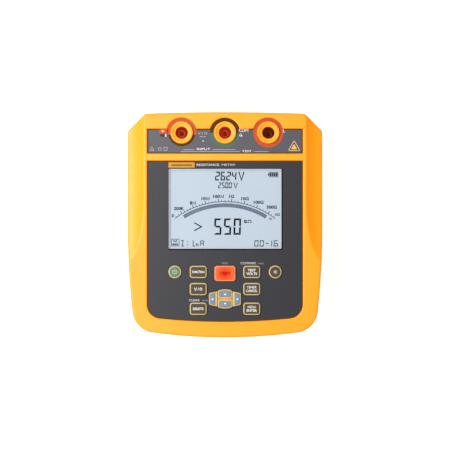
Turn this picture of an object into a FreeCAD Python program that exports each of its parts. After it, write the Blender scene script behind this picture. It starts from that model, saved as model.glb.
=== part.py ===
import FreeCAD, Part
import math
import os

# Insulation resistance tester, lying on its back: +Z out of its face, +Y towards its terminals.
# Millimetres. The origin is under the middle of the case, on the plane that the rubber feet stand on.

V = FreeCAD.Vector

# ---- case outline, seen from the front ----
CASE_WIDTH = 181.0
CASE_TOP_Y = 104.3
CASE_BOTTOM_Y = -105.3
TOP_CORNER = (74.4, 102.9)        # where the bowed top edge meets the corner chamfer
CHAMFER_END = (90.5, 86.9)        # where the chamfer meets the straight side
SIDE_END_Y = -1.0                 # the sides start to curve in here
SIDE_MIDDLE = (88.453, -56.0)     # a point on the inward curve
BOTTOM_CORNER = (84.102, -98.1)   # where side and bottom curves would meet if the corner were sharp
TOP_CORNER_R = 4.0
BOTTOM_CORNER_R = 21.5

# ---- heights above the standing plane ----
FACE_Z = 70.0                     # flat face of the front case
BACK_Z = 1.5                      # rear face of the rear case
REAR_TOP_Z = 33.6                 # rear half ends here, then the gasket
GASKET_T = 0.8
WALL = 2.5
FACE_WALL = 4.3                   # face surface down to the inner surface, recesses included

# ---- relief of the front face ----
PLATEAU_HALF = 75.5               # half width of the flat face
SCOOP_R = 33.3                    # the hollows along both sides are parts of this cylinder
SCOOP_X = 94.6                    # middle of the right one
SCOOP_TURN_Y = 22.0               # below this they rise and run out
SCOOP_TURN_R = 256.0
BREAK_Y = 62.4                    # the terminal deck tilts down from this line
DECK_TILT = 8.0                   # degrees
EDGE_R = 1.5                      # rounding of the face edges
BACK_EDGE_R = 3.5

# ---- printed panels ----
PANEL_HALF = 72.25
PANEL_TOP_Y = 58.85
PANEL_SIDE_END_Y = -86.3
PANEL_BOTTOM_Y = -90.6
PANEL_CORNER_R = 13.0
PANEL_T = 1.0
PANEL_RECESS = 2.3                # depth of the recess that a panel lies in
FIT = 0.15                        # gap round the lens, and from a panel's outline to its recess
PANEL_INSET = 0.45                # a panel's edge inside its outline, which leaves a groove
RECESS_CHAMFER = 0.5
DECK_PANEL_Y = (65.85, 88.8)
LOBE_R = 14.0

# ---- display ----
VIEW_W = 105.0
VIEW_H = 74.3
VIEW_Y = 14.2
LENS_BORDER = 2.3
LENS_T = 1.2
GLASS_W = 112.0
GLASS_H = 82.0

# ---- jacks ----
JACK_XS = {"left": -40.3, "middle": 0.0, "right": 40.3}
JACK_Y = 85.2
COLLAR_R = 10.35
COLLAR_HEIGHT = 0.9
RIM_INNER_R = 8.5                 # the collar's raised rim stands round a nearly flat floor
COLLAR_FLOOR = -0.2
STEM_R = 8.4
STEM_END = -8.0
MOUTH_R = 5.75
SOCKET_R = 7.0
SOCKET_TOP = -3.4
SOCKET_END = -27.0
SOCKET_FLOOR = -24.0
POST_R = 3.9
POST_TOPS = {"left": -7.0, "middle": -7.0, "right": -12.0}
CONTACT_R = 2.7
CONTACT_BORE_R = 2.03
CAP_T = 1.0                       # top of the post, which covers the contact's end
CAP_HOLE_R = 2.15
CONTACT_SET_BACK = 1.05
TAIL_R = 1.0
TAIL_END = -43.0
NUT_FLATS = 22.0

# ---- keys ----
KEY_SIZE = (15.9, 11.5)
KEY_R = 2.7
KEY_COLUMN_X = 24.87
KEY_ROWS = (-44.4, -60.3, -78.6)
ROUND_KEY_X = 46.67
ROUND_KEY_R = 6.0
TEST_KEY = (19.7, 14.4, -45.8)    # width, height, middle
TEST_KEY_R = 2.6
PAD_Y = -69.5
PAD_HALF_H = 9.05
PAD_ARCH = 1.2                    # rise of the arched ends of the pad's middle column
COLUMN_HALF = 6.6
WING_X = (6.9, 15.0)
WING_HALF_H = (7.2, 5.5)
WING_FLANGE_X = 15.4              # the wings' flanges stop short of those of the next keys
PAD_GAP = 0.3
KEY_PROUD = 0.8
KEY_EDGE_R = 0.7
KEY_CLEARANCE = 0.4
FLANGE_REACH = 1.2
FLANGE_Z = (-5.5, -4.5)           # from the face
PLUNGER_END = -7.0
PLUNGER_R = 2.0
DOME_H = 0.5
DOME_R = 3.0

# ---- boards ----
BOARD_TOP = -8.7                  # main board, from the face
BOARD_T = 1.6
BOARD_HALF = 78.0
BOARD_Y = (-84.0, 58.0)
BOARD_CORNER_R = 16.0
BOARD_SCREWS = ((68.0, 50.0), (68.0, -24.0), (66.0, -76.0))
MAT_HALF = 58.0
MAT_Y = (-84.0, -36.0)
MAT_T = 1.2
POWER_BOARD_Z = 24.0
POWER_BOARD_HALF = 70.0
POWER_BOARD_Y = (-8.0, 97.0)
POWER_SCREWS = ((62.0, 0.0), (62.0, 91.0))

# ---- fasteners ----
CASE_SCREWS = ((80.0, 80.0), (83.2, 4.0), (75.2, -88.7))
CASE_SCREW_R = 1.75
CASE_SCREW_HEAD_R = 3.2
CASE_SCREW_HEAD_H = 2.6
CASE_SCREW_SEAT_Z = 10.0
CASE_SCREW_END_Z = 50.0
FRONT_POST_R = 3.6
REAR_POST_R = 5.2
BOARD_SCREW_R = 1.25
BOARD_SCREW_HEAD_R = 2.4
BOARD_SCREW_HEAD_H = 1.6
BOARD_SCREW_LENGTH = 5.5

# ---- battery compartment ----
CELL_R = 7.15
CELL_LENGTH = 49.5
CELL_PITCH = 15.2
CELL_X0 = 2.0
CELL_Z = 11.8
BAY_Y = -55.0                     # middle of the compartment
BAY_HALF = (55.5, 30.5)
TRAY_WALL = 2.0
TRAY_TOP_Z = 22.0
LEDGE_TOP_Z = 6.0
DOOR_HALF = (65.0, 36.0)
DOOR_T = 2.0
DOOR_R = 4.0
DOOR_GAP = 0.25
SEAL_T = 0.5
DOOR_SCREW_X = 60.8
DOOR_SCREW_R = 1.5
DOOR_SCREW_HEAD_R = 3.0
DOOR_SCREW_HEAD_H = 1.1
LEDGE_REACH = (12.0, 7.5)         # of the frame round the compartment's opening

# ---- stand ----
HINGE_Y = 54.0
HINGE_Z = 5.2
BARREL_R = 3.4
PIN_R = 1.5
PIN_HALF = 51.0
STAND_HALF = 46.0
STAND_Y = (-9.0, 53.0)
STAND_Z = (1.9, 5.4)
POCKET_HALF = 48.0
POCKET_Y = (-9.6, 58.0)
POCKET_TOP_Z = 6.2
GROOVE_Y = 50.0
GROOVE_TOP_Z = 9.4
TUB_WALL = 2.0
NOTCH_HALF = 12.0
NOTCH_Y = -16.5
NOTCH_TOP_Z = 6.6

# ---- feet ----
FEET = ((68.0, 88.0), (73.0, -62.0))
FOOT_R = 6.0
FOOT_RECESS = 1.0


# ---------- helpers ----------

def box(x0, x1, y0, y1, z0, z1):
    return Part.makeBox(x1 - x0, y1 - y0, z1 - z0, V(x0, y0, z0))


def rod(x, y, z0, z1, r):
    return Part.makeCylinder(r, z1 - z0, V(x, y, z0))


def rounded_box(x0, x1, y0, y1, z0, z1, r):
    block = box(x0, x1, y0, y1, z0, z1)
    return block.makeFillet(r, upright_edges(block))


def upright_edges(shape):
    edges = []
    for edge in shape.Edges:
        size = edge.BoundBox
        if size.XLength < 1e-6 and size.YLength < 1e-6:
            edges.append(edge)
    return edges


def bottom_face(shape):
    return min(shape.Faces, key=lambda face: face.BoundBox.ZMax)


def rounded_face(edges, corners):
    """A flat face inside the edges, with each corner (x, y) rounded to its radius."""
    shape = Part.Face(Part.Wire(edges)).extrude(V(0, 0, 10))
    for (x, y), radius in corners.items():
        near = [e for e in upright_edges(shape)
                if abs(e.BoundBox.XMin - x) + abs(e.BoundBox.YMin - y) < 0.01]
        shape = shape.makeFillet(radius, near)
    return bottom_face(shape)


def line(a, b):
    return Part.makeLine(V(a[0], a[1], 0), V(b[0], b[1], 0))


def arc(a, b, c):
    return Part.Arc(V(a[0], a[1], 0), V(b[0], b[1], 0), V(c[0], c[1], 0)).toShape()


def extrude(face, z0, z1):
    moved = face.copy()
    moved.translate(V(0, 0, z0))
    return moved.extrude(V(0, 0, z1 - z0))


def grown(face, distance):
    return face.makeOffset2D(distance)


def polygon_solid(points, direction):
    return Part.Face(Part.makePolygon(points + [points[0]])).extrude(direction)


def turned(profile):
    """A solid turned about the Z axis from (radius, height) points."""
    points = [V(r, 0, z) for r, z in profile]
    face = Part.Face(Part.makePolygon(points + [points[0]]))
    return face.revolve(V(0, 0, 0), V(0, 0, 1), 360)


def mirrored(shape):
    return shape.mirror(V(0, 0, 0), V(1, 0, 0))


def both_sides(places):
    return [(side * x, y) for x, y in places for side in (-1, 1)]


def fused(shapes):
    return shapes[0].multiFuse(shapes[1:]).removeSplitter()


def deck_y(y):
    """Position on the tilted deck, measured along it, of a line seen at y from the front."""
    return BREAK_Y + (y - BREAK_Y) / math.cos(math.radians(DECK_TILT))


def on_deck(shape):
    """Tilt a shape, drawn as if the deck were level, onto the deck."""
    placed = shape.copy()
    placed.rotate(V(0, BREAK_Y, FACE_Z), V(1, 0, 0), -DECK_TILT)
    return placed


def at_jack(shape, side):
    """Put a shape, drawn about the Z axis from the deck surface, at one of the jacks."""
    placed = shape.copy()
    placed.translate(V(JACK_XS[side], deck_y(JACK_Y), FACE_Z))
    return on_deck(placed)


# ---------- outlines ----------

def tangent_corner(first, second, sharp, radius):
    """Start, middle and end of an arc that rounds the sharp corner between two larger circles."""
    a = first.Center
    b = second.Center
    to_a = first.Radius - radius
    to_b = second.Radius - radius
    gap = b.sub(a)
    along = (to_a ** 2 - to_b ** 2 + gap.Length ** 2) / (2 * gap.Length)
    across = math.sqrt(to_a ** 2 - along ** 2)
    unit = V(gap).normalize()
    foot = a + unit * along
    sideways = V(-unit.y, unit.x, 0) * across
    corner = V(sharp[0], sharp[1], 0)
    centre = min((foot + sideways, foot - sideways), key=lambda p: p.distanceToPoint(corner))
    start = a + (centre - a).normalize() * first.Radius
    end = b + (centre - b).normalize() * second.Radius
    middle = centre + (corner - centre).normalize() * radius
    return [(p.x, p.y) for p in (start, middle, end)]


def case_outline():
    top_r = TOP_CORNER
    side_r = CHAMFER_END
    turn_r = (CASE_WIDTH / 2, SIDE_END_Y)
    bottom = (0, CASE_BOTTOM_Y)
    top_l, side_l, turn_l, low_l, middle_l = [
        (-x, y) for x, y in (top_r, side_r, turn_r, BOTTOM_CORNER, SIDE_MIDDLE)]
    side_circle = arc(turn_r, SIDE_MIDDLE, BOTTOM_CORNER).Curve
    bow_circle = arc(BOTTOM_CORNER, bottom, low_l).Curve
    corner_r = tangent_corner(side_circle, bow_circle, BOTTOM_CORNER, BOTTOM_CORNER_R)
    corner_l = [(-x, y) for x, y in reversed(corner_r)]
    edges = [
        arc(top_l, (0, CASE_TOP_Y), top_r),
        line(top_r, side_r),
        line(side_r, turn_r),
        arc(turn_r, SIDE_MIDDLE, corner_r[0]),
        arc(*corner_r),
        arc(corner_r[2], bottom, corner_l[0]),
        arc(*corner_l),
        arc(corner_l[2], middle_l, turn_l),
        line(turn_l, side_l),
        line(side_l, top_l),
    ]
    return rounded_face(edges, {p: TOP_CORNER_R for p in (top_r, top_l, side_r, side_l)})


def panel_outline():
    top_r = (PANEL_HALF, PANEL_TOP_Y)
    top_l = (-PANEL_HALF, PANEL_TOP_Y)
    low_r = (PANEL_HALF, PANEL_SIDE_END_Y)
    low_l = (-PANEL_HALF, PANEL_SIDE_END_Y)
    edges = [line(top_l, top_r), line(top_r, low_r), arc(low_r, (0, PANEL_BOTTOM_Y), low_l),
             line(low_l, top_l)]
    return rounded_face(edges, {low_r: PANEL_CORNER_R, low_l: PANEL_CORNER_R})


def deck_panel_solid(grow, z0, z1):
    """The terminal panel's outline, with a round lobe about each jack, between two heights."""
    parts = [box(-PANEL_HALF - grow, PANEL_HALF + grow, deck_y(DECK_PANEL_Y[0]) - grow,
                 deck_y(DECK_PANEL_Y[1]) + grow, z0, z1)]
    for x in JACK_XS.values():
        parts.append(rod(x, deck_y(JACK_Y), z0, z1, LOBE_R + grow))
    return fused(parts)


def view_solid(grow, z0, z1):
    """A block as large as the visible display plus a border, between two heights."""
    half_w = VIEW_W / 2 + grow
    half_h = VIEW_H / 2 + grow
    return rounded_box(-half_w, half_w, VIEW_Y - half_h, VIEW_Y + half_h, z0, z1, 1.0)


# ---------- front case envelope ----------

def scoop_cutter(drop):
    """What is cut from the right side of a block to hollow it along the face's edge."""
    reach = SCOOP_X - PLATEAU_HALF
    height = math.sqrt(SCOOP_R ** 2 - reach ** 2)
    face_z = FACE_Z - drop
    turn = V(SCOOP_X, SCOOP_TURN_Y, face_z + height)
    straight = Part.makeCylinder(SCOOP_R, 60.0, turn, V(0, 1, 0))
    tilt = math.radians(DECK_TILT)
    along_deck = V(0, math.cos(tilt), -math.sin(tilt))
    off_deck = V(0, math.sin(tilt), math.cos(tilt))
    start = V(SCOOP_X, BREAK_Y, face_z) + off_deck * height - along_deck * 20.0
    deck = Part.makeCylinder(SCOOP_R, 80.0, start, along_deck)
    circle = Part.Face(Part.Wire(Part.makeCircle(SCOOP_R, turn, V(0, 1, 0))))
    pivot = V(0, SCOOP_TURN_Y, face_z + height + SCOOP_TURN_R)
    rising = circle.revolve(pivot, V(1, 0, 0), -20)
    return straight.multiFuse([deck, rising])


def deck_cutter(drop):
    """What is cut from the top of a block to tilt the terminal deck."""
    far = 115.0
    fall = math.tan(math.radians(DECK_TILT)) * (far - BREAK_Y)
    points = [V(-100, BREAK_Y, FACE_Z - drop), V(-100, far, FACE_Z - drop - fall),
              V(-100, far, FACE_Z + 10), V(-100, BREAK_Y, FACE_Z + 10)]
    return polygon_solid(points, V(200, 0, 0))


def envelope(inset, drop, z0):
    """The front case's relief as a solid block, inset from the outline and lowered from the face."""
    face = grown(case_outline(), -inset) if inset else case_outline()
    cutter = scoop_cutter(drop)
    block = extrude(face, z0, FACE_Z - drop).cut(deck_cutter(drop))
    return block.cut(cutter).cut(mirrored(cutter)).removeSplitter()


# ---------- keys ----------

def rect_face(x, y, width, height, r):
    block = rounded_box(x - width / 2, x + width / 2, y - height / 2, y + height / 2, 0, 1, r)
    return bottom_face(block)


def round_face(x, y, r):
    return Part.Face(Part.Wire(Part.makeCircle(r, V(x, y, 0))))


def arched_face(direction):
    """Upper (1) or lower (-1) key of the arrow pad's middle column."""
    inner = PAD_Y + direction * PAD_GAP / 2
    shoulder = PAD_Y + direction * (PAD_HALF_H - PAD_ARCH)
    crown = PAD_Y + direction * PAD_HALF_H
    left = (-COLUMN_HALF, shoulder)
    right = (COLUMN_HALF, shoulder)
    edges = [line((-COLUMN_HALF, inner), (COLUMN_HALF, inner)), line((COLUMN_HALF, inner), right),
             arc(right, (0, crown), left), line(left, (-COLUMN_HALF, inner))]
    return rounded_face(edges, {left: 1.2, right: 1.2})


def wing_face(direction):
    """Left (-1) or right (1) key of the arrow pad, which narrows outwards."""
    inner, outer = (direction * x for x in WING_X)
    tall, short = WING_HALF_H
    corners = [(inner, PAD_Y - tall), (outer, PAD_Y - short), (outer, PAD_Y + short),
               (inner, PAD_Y + tall)]
    edges = [line(a, b) for a, b in zip(corners, corners[1:] + corners[:1])]
    return rounded_face(edges, {corners[1]: 1.8, corners[2]: 1.8})


def key_faces():
    """Plan outline of each key and the place of its plunger."""
    keys = {}
    names = {(-1, 0): "key_mode", (-1, 1): "key_units", (-1, 2): "key_delete",
             (1, 0): "key_volts", (1, 1): "key_timer", (1, 2): "key_memory"}
    for (side, row), name in names.items():
        x = side * KEY_COLUMN_X
        y = KEY_ROWS[row]
        keys[name] = (rect_face(x, y, KEY_SIZE[0], KEY_SIZE[1], KEY_R), (x, y))
    for side, name in ((-1, "key_power"), (1, "key_backlight")):
        x = side * ROUND_KEY_X
        keys[name] = (round_face(x, KEY_ROWS[0], ROUND_KEY_R), (x, KEY_ROWS[0]))
    width, height, y = TEST_KEY
    keys["key_test"] = (rect_face(0, y, width, height, TEST_KEY_R), (0, y))
    middle = PAD_HALF_H / 2
    keys["key_up"] = (arched_face(1), (0, PAD_Y + middle))
    keys["key_down"] = (arched_face(-1), (0, PAD_Y - middle))
    wing = sum(WING_X) / 2
    keys["key_left"] = (wing_face(-1), (-wing, PAD_Y))
    keys["key_right"] = (wing_face(1), (wing, PAD_Y))
    return keys


def flange_limit(name):
    """Room for a key's flange: the arrow keys' flanges stop where the next key starts."""
    far = 100.0
    low = FACE_Z + FLANGE_Z[0] - 1
    high = FACE_Z
    half_gap = PAD_GAP / 2
    limits = {
        "key_up": (-COLUMN_HALF, COLUMN_HALF, PAD_Y + half_gap, far),
        "key_down": (-COLUMN_HALF, COLUMN_HALF, -far, PAD_Y - half_gap),
        "key_left": (-WING_FLANGE_X, -WING_X[0], -far, far),
        "key_right": (WING_X[0], WING_FLANGE_X, -far, far),
    }
    x0, x1, y0, y1 = limits.get(name, (-far, far, -far, far))
    return box(x0, x1, y0, y1, low, high)


def key_solid(name, face, plunger):
    cap = extrude(face, FACE_Z + FLANGE_Z[1], FACE_Z + KEY_PROUD)
    rim = [e for e in cap.Edges if e.BoundBox.ZMin > FACE_Z + KEY_PROUD - 1e-6]
    cap = cap.makeFillet(KEY_EDGE_R, rim)
    flange = extrude(grown(face, FLANGE_REACH), FACE_Z + FLANGE_Z[0], FACE_Z + FLANGE_Z[1])
    flange = flange.common(flange_limit(name))
    x, y = plunger
    stem = rod(x, y, FACE_Z + PLUNGER_END, FACE_Z + FLANGE_Z[1], PLUNGER_R)
    return fused([cap, flange, stem])


def key_openings(keys, z0, z1):
    """Holes for all keys; the four arrow keys share one."""
    holes = [extrude(grown(face, KEY_CLEARANCE), z0, z1) for face, plunger in keys.values()]
    return holes[0].multiFuse(holes[1:])


# ---------- front half ----------

def recess_rims(shell):
    """Edges where the two panel recesses meet the face and the terminal deck."""
    level = shell.copy()
    level.rotate(V(0, BREAK_Y, FACE_Z), V(1, 0, 0), DECK_TILT)
    rims = []
    for edge, levelled in zip(shell.Edges, level.Edges):
        for part, y_low, y_high in ((edge, -95, 60), (levelled, 64, 102)):
            size = part.BoundBox
            flat = size.ZMin > FACE_Z - 0.01 and size.ZMax < FACE_Z + 0.01
            inside = size.YMin > y_low and size.YMax < y_high
            if flat and inside and size.XMax < 74 and size.XMin > -74:
                rims.append(edge)
    return rims


def front_case(keys):
    low = REAR_TOP_Z + GASKET_T
    block = envelope(0, 0, low)
    edges = [e for e in block.Edges if e.BoundBox.ZMin > 50]
    block = block.makeFillet(EDGE_R, edges)
    shell = block.cut(envelope(WALL, FACE_WALL, low - 1))
    roof = envelope(WALL / 2, FACE_WALL / 2, low)
    posts = [rod(x, y, low, FACE_Z, FRONT_POST_R) for x, y in both_sides(CASE_SCREWS)]
    posts += [rod(x, y, FACE_Z + BOARD_TOP, FACE_Z, 3.0) for x, y in both_sides(BOARD_SCREWS)]
    posts = [post.common(roof) for post in posts]
    shell = fused([shell] + posts)
    cuts = [extrude(grown(panel_outline(), FIT), FACE_Z - PANEL_RECESS, FACE_Z + 1)]
    cuts.append(on_deck(deck_panel_solid(FIT, FACE_Z - PANEL_RECESS, FACE_Z + 5)))
    lens_floor = FACE_Z - PANEL_RECESS - LENS_T
    cuts.append(view_solid(LENS_BORDER + FIT, lens_floor, FACE_Z))
    cuts.append(view_solid(0.5, FACE_Z - FACE_WALL - 1, FACE_Z))
    cuts.append(key_openings(keys, FACE_Z - FACE_WALL - 1, FACE_Z + 1))
    for side in JACK_XS:
        cuts.append(at_jack(rod(0, 0, -10, 1, STEM_R + 0.1), side))
    for x, y in both_sides(CASE_SCREWS):
        cuts.append(rod(x, y, low - 1, CASE_SCREW_END_Z + 2, CASE_SCREW_R + 0.05))
    for x, y in both_sides(BOARD_SCREWS):
        top = FACE_Z + BOARD_TOP + BOARD_SCREW_LENGTH - BOARD_T + 0.3
        cuts.append(rod(x, y, FACE_Z + BOARD_TOP - 1, top, BOARD_SCREW_R + 0.05))
    shell = shell.cut(cuts[0].multiFuse(cuts[1:]))
    return shell.makeChamfer(RECESS_CHAMFER, recess_rims(shell))


def case_gasket():
    outer = extrude(grown(case_outline(), -0.5), REAR_TOP_Z, REAR_TOP_Z + GASKET_T)
    inner = extrude(grown(case_outline(), -WALL), REAR_TOP_Z - 1, REAR_TOP_Z + GASKET_T + 1)
    return outer.cut(inner)


def main_overlay(keys):
    low = FACE_Z - PANEL_RECESS
    sheet = extrude(grown(panel_outline(), -PANEL_INSET), low, low + PANEL_T)
    sheet = sheet.cut(view_solid(0, low - 1, FACE_Z))
    return sheet.cut(key_openings(keys, low - 1, FACE_Z))


def terminal_overlay():
    low = FACE_Z - PANEL_RECESS
    sheet = on_deck(deck_panel_solid(-PANEL_INSET, low, low + PANEL_T))
    for side in JACK_XS:
        sheet = sheet.cut(at_jack(rod(0, 0, -5, 5, COLLAR_R + 0.2), side))
    return sheet


def display_window():
    top = FACE_Z - PANEL_RECESS
    return view_solid(LENS_BORDER, top - LENS_T, top)


def lcd_block(half_w, half_h, z0, z1):
    return box(-half_w, half_w, VIEW_Y - half_h, VIEW_Y + half_h, FACE_Z + z0, FACE_Z + z1)


def lcd_glass():
    return lcd_block(GLASS_W / 2, GLASS_H / 2, -7.0, -4.8)


def lcd_backlight():
    return lcd_block(GLASS_W / 2, GLASS_H / 2, BOARD_TOP, -7.0)


def lcd_frame():
    outer = lcd_block(GLASS_W / 2 + 2.2, GLASS_H / 2 + 2.2, BOARD_TOP, -4.5)
    return outer.cut(lcd_block(GLASS_W / 2 + 0.1, GLASS_H / 2 + 0.1, BOARD_TOP - 1, 0))


def main_board():
    top = FACE_Z + BOARD_TOP
    y0, y1 = BOARD_Y
    board = box(-BOARD_HALF, BOARD_HALF, y0, y1, top - BOARD_T, top)
    low = [e for e in upright_edges(board) if e.BoundBox.YMax < 0]
    board = board.makeFillet(BOARD_CORNER_R, low)
    for x, y in both_sides(BOARD_SCREWS):
        board = board.cut(rod(x, y, top - 5, top + 5, BOARD_SCREW_R + 0.2))
    return board


def main_chip():
    top = FACE_Z + BOARD_TOP - BOARD_T
    return box(-10, 10, -15, 5, top - 2.0, top)


def buzzer():
    top = FACE_Z + BOARD_TOP - BOARD_T
    shell = rod(48, -50, top - 6.0, top, 7.0)
    return shell.cut(rod(48, -50, top - 7.0, top - 4.5, 1.2))


def switch_domes(keys):
    low = FACE_Z + BOARD_TOP
    domes = [Part.makeCone(DOME_R, DOME_R * 0.6, DOME_H, V(x, y, low))
             for face, (x, y) in keys.values()]
    return Part.makeCompound(domes)


def keypad_mat(keys):
    low = FACE_Z + BOARD_TOP
    y0, y1 = MAT_Y
    mat = rounded_box(-MAT_HALF, MAT_HALF, y0, y1, low, low + MAT_T, 8.0)
    for face, (x, y) in keys.values():
        mat = mat.cut(rod(x, y, low - 1, low + 5, DOME_R + 0.3))
    return mat


# ---------- jacks, drawn about the Z axis from the deck surface ----------

def jack_collar():
    bore = MOUTH_R
    socket = SOCKET_R + 0.1
    return turned([
        (bore, SOCKET_TOP), (bore, COLLAR_FLOOR - 0.6), (bore + 0.4, COLLAR_FLOOR - 0.2),
        (RIM_INNER_R - 0.3, COLLAR_FLOOR), (RIM_INNER_R, COLLAR_FLOOR + 0.3),
        (RIM_INNER_R, COLLAR_HEIGHT - 0.25), (RIM_INNER_R + 0.25, COLLAR_HEIGHT),
        (COLLAR_R - 0.4, COLLAR_HEIGHT), (COLLAR_R, COLLAR_HEIGHT - 0.4),
        (COLLAR_R, -PANEL_RECESS), (STEM_R, -PANEL_RECESS),
        (STEM_R, STEM_END), (socket, STEM_END), (socket, SOCKET_TOP),
    ])


def jack_socket(post_top):
    """Insulating sleeve with a floor and a bored centre post that caps the contact."""
    hole = CONTACT_R
    return turned([
        (hole, SOCKET_END), (SOCKET_R, SOCKET_END), (SOCKET_R, SOCKET_TOP), (MOUTH_R, SOCKET_TOP),
        (MOUTH_R, SOCKET_FLOOR), (POST_R, SOCKET_FLOOR), (POST_R, post_top - 0.4),
        (POST_R - 0.4, post_top), (CAP_HOLE_R + 0.3, post_top), (CAP_HOLE_R, post_top - 0.3),
        (CAP_HOLE_R, post_top - CAP_T), (hole, post_top - CAP_T),
    ])


def jack_contact(post_top):
    """Bored contact inside the post, with a solder tail down to the power board."""
    top = post_top - CONTACT_SET_BACK
    return turned([
        (0, TAIL_END), (TAIL_R, TAIL_END), (TAIL_R, SOCKET_END - 1.0), (CONTACT_R, SOCKET_END - 1.0),
        (CONTACT_R, top), (CONTACT_BORE_R, top), (CONTACT_BORE_R, SOCKET_FLOOR - 1.0),
        (0, SOCKET_FLOOR - 1.0),
    ])


def jack_nuts():
    corner = NUT_FLATS / math.sqrt(3)
    points = []
    for i in range(6):
        angle = math.radians(60 * i)
        points.append(V(corner * math.cos(angle), corner * math.sin(angle), -7.5))
    nut = polygon_solid(points, V(0, 0, 7.5 - FACE_WALL - 0.05)).cut(rod(0, 0, -9, 0, STEM_R + 0.05))
    return Part.makeCompound([at_jack(nut, side) for side in JACK_XS])


# ---------- power board and what is on it ----------

def power_board():
    y0, y1 = POWER_BOARD_Y
    low = POWER_BOARD_Z
    board = rounded_box(-POWER_BOARD_HALF, POWER_BOARD_HALF, y0, y1, low, low + BOARD_T, 3.0)
    for x, y in both_sides(POWER_SCREWS):
        board = board.cut(rod(x, y, low - 1, low + 5, BOARD_SCREW_R + 0.2))
    for side in JACK_XS:
        board = board.cut(at_jack(rod(0, 0, TAIL_END - 3, TAIL_END + 3, TAIL_R + 0.15), side))
    return board


def transformer_core():
    """Ferrite ring with a middle leg, standing on the power board."""
    low = POWER_BOARD_Z + BOARD_T
    core = box(10, 46, 16, 44, low, low + 24)
    for x0, x1 in ((15, 23), (33, 41)):
        core = core.cut(box(x0, x1, 15, 45, low + 5, low + 19))
    return core


def transformer_coil():
    low = POWER_BOARD_Z + BOARD_T
    coil = rounded_box(15.3, 40.7, 12, 48, low + 5.3, low + 18.7, 2.0)
    return coil.cut(box(22.8, 33.2, 15.8, 44.2, low, low + 30))


def relays():
    low = POWER_BOARD_Z + BOARD_T
    blocks = [rounded_box(x - 8, x + 8, 14, 44, low, low + 15, 0.8) for x in (-46, -24, -2)]
    return Part.makeCompound(blocks)


def capacitors():
    low = POWER_BOARD_Z + BOARD_T
    return Part.makeCompound([rod(x, 60, low, low + 12, 6.0) for x in (-44, -26, -8, 10)])


def board_connector():
    low = POWER_BOARD_Z + BOARD_T
    return box(-66, -59, 16, 48, low, FACE_Z + BOARD_TOP - BOARD_T)


def board_screw(x, y, seat, direction):
    """Pan-head screw whose head rests on the seat and whose thread points along direction."""
    head = Part.makeCylinder(BOARD_SCREW_HEAD_R, BOARD_SCREW_HEAD_H, V(x, y, seat),
                             V(0, 0, -direction))
    thread = Part.makeCylinder(BOARD_SCREW_R, BOARD_SCREW_LENGTH, V(x, y, seat), V(0, 0, direction))
    slot = Part.makeBox(BOARD_SCREW_HEAD_R * 2.2, 0.7, 1.6)
    slot.translate(V(x - BOARD_SCREW_HEAD_R * 1.1, y - 0.35,
                     seat - direction * BOARD_SCREW_HEAD_H - 0.8))
    return head.fuse(thread).cut(slot)


def board_screws():
    screws = []
    for x, y in both_sides(BOARD_SCREWS):
        screws.append(board_screw(x, y, FACE_Z + BOARD_TOP - BOARD_T, 1))
    for x, y in both_sides(POWER_SCREWS):
        screws.append(board_screw(x, y, POWER_BOARD_Z + BOARD_T, -1))
    return Part.makeCompound(screws)


# ---------- rear half ----------

def bay_block(grow_x, grow_y, z0, z1, r=1.0):
    return rounded_box(-BAY_HALF[0] - grow_x, BAY_HALF[0] + grow_x, BAY_Y - BAY_HALF[1] - grow_y,
                       BAY_Y + BAY_HALF[1] + grow_y, z0, z1, r)


def door_block(grow, z0, z1):
    return rounded_box(-DOOR_HALF[0] - grow, DOOR_HALF[0] + grow, BAY_Y - DOOR_HALF[1] - grow,
                       BAY_Y + DOOR_HALF[1] + grow, z0, z1, DOOR_R + grow)


def door_screw_places():
    return both_sides(((DOOR_SCREW_X, BAY_Y),))


def stand_pocket(grow, z_low):
    """Room for the folded stand, with a deeper groove for its barrel."""
    y0, y1 = POCKET_Y
    flat = box(-POCKET_HALF - grow, POCKET_HALF + grow, y0 - grow, y1 + grow, z_low,
               POCKET_TOP_Z + grow)
    groove = box(-POCKET_HALF - grow, POCKET_HALF + grow, GROOVE_Y - grow, y1 + grow, z_low,
                 GROOVE_TOP_Z + grow)
    return flat.fuse(groove)


def finger_notch(grow, z_low):
    return box(-NOTCH_HALF - grow, NOTCH_HALF + grow, NOTCH_Y - grow, POCKET_Y[0] + 1, z_low,
               NOTCH_TOP_Z + grow)


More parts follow.
